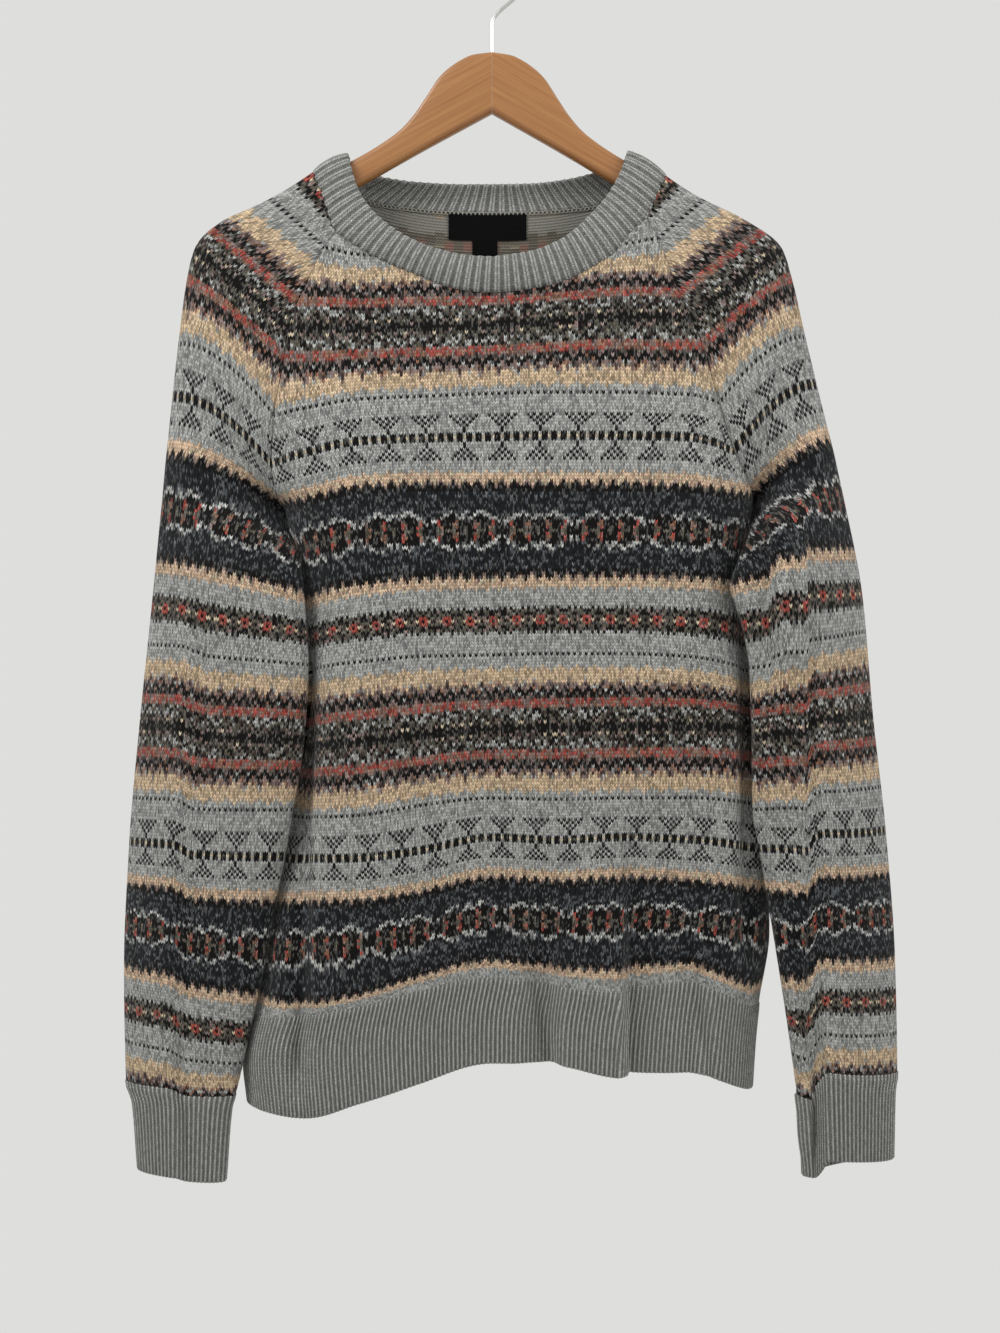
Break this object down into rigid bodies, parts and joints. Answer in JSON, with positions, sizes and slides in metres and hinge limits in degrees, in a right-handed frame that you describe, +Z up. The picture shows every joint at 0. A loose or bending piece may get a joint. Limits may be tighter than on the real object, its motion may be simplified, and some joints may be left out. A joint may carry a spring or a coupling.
{
  "type": "fair isle jumper on a wooden hanger",
  "caption": "Crew-neck raglan jumper in banded fair isle knit with ribbed neck, cuffs and hem, hanging open on a flat wooden hanger with a wire hook.",
  "frame": {"origin": "inside of the top of the hook, where it rests on a rail", "axes": "+Z up, -Y towards the front of the jumper, +X towards the viewer's right as they face the front"},
  "size_m": [0.5665, 0.1119, 0.9116],
  "materials": {
    "knit": "stranded fair isle wool",
    "rib": "heather grey rib",
    "label": "woven satin label, left bare",
    "wood": "clear varnished maple",
    "steel": "plated wire"
  },
  "bodies": {
    "root": {"front_panel": "knit", "back_panel": "knit", "left_sleeve": "knit", "right_sleeve": "knit", "hem_rib_front": "rib", "hem_rib_back": "rib", "left_cuff": "rib", "right_cuff": "rib", "neckband": "rib", "neck_label": "label", "size_tab": "label", "hanger_arm_left": "wood", "hanger_arm_right": "wood", "hook": "steel"}
  },
  "joints": []
}
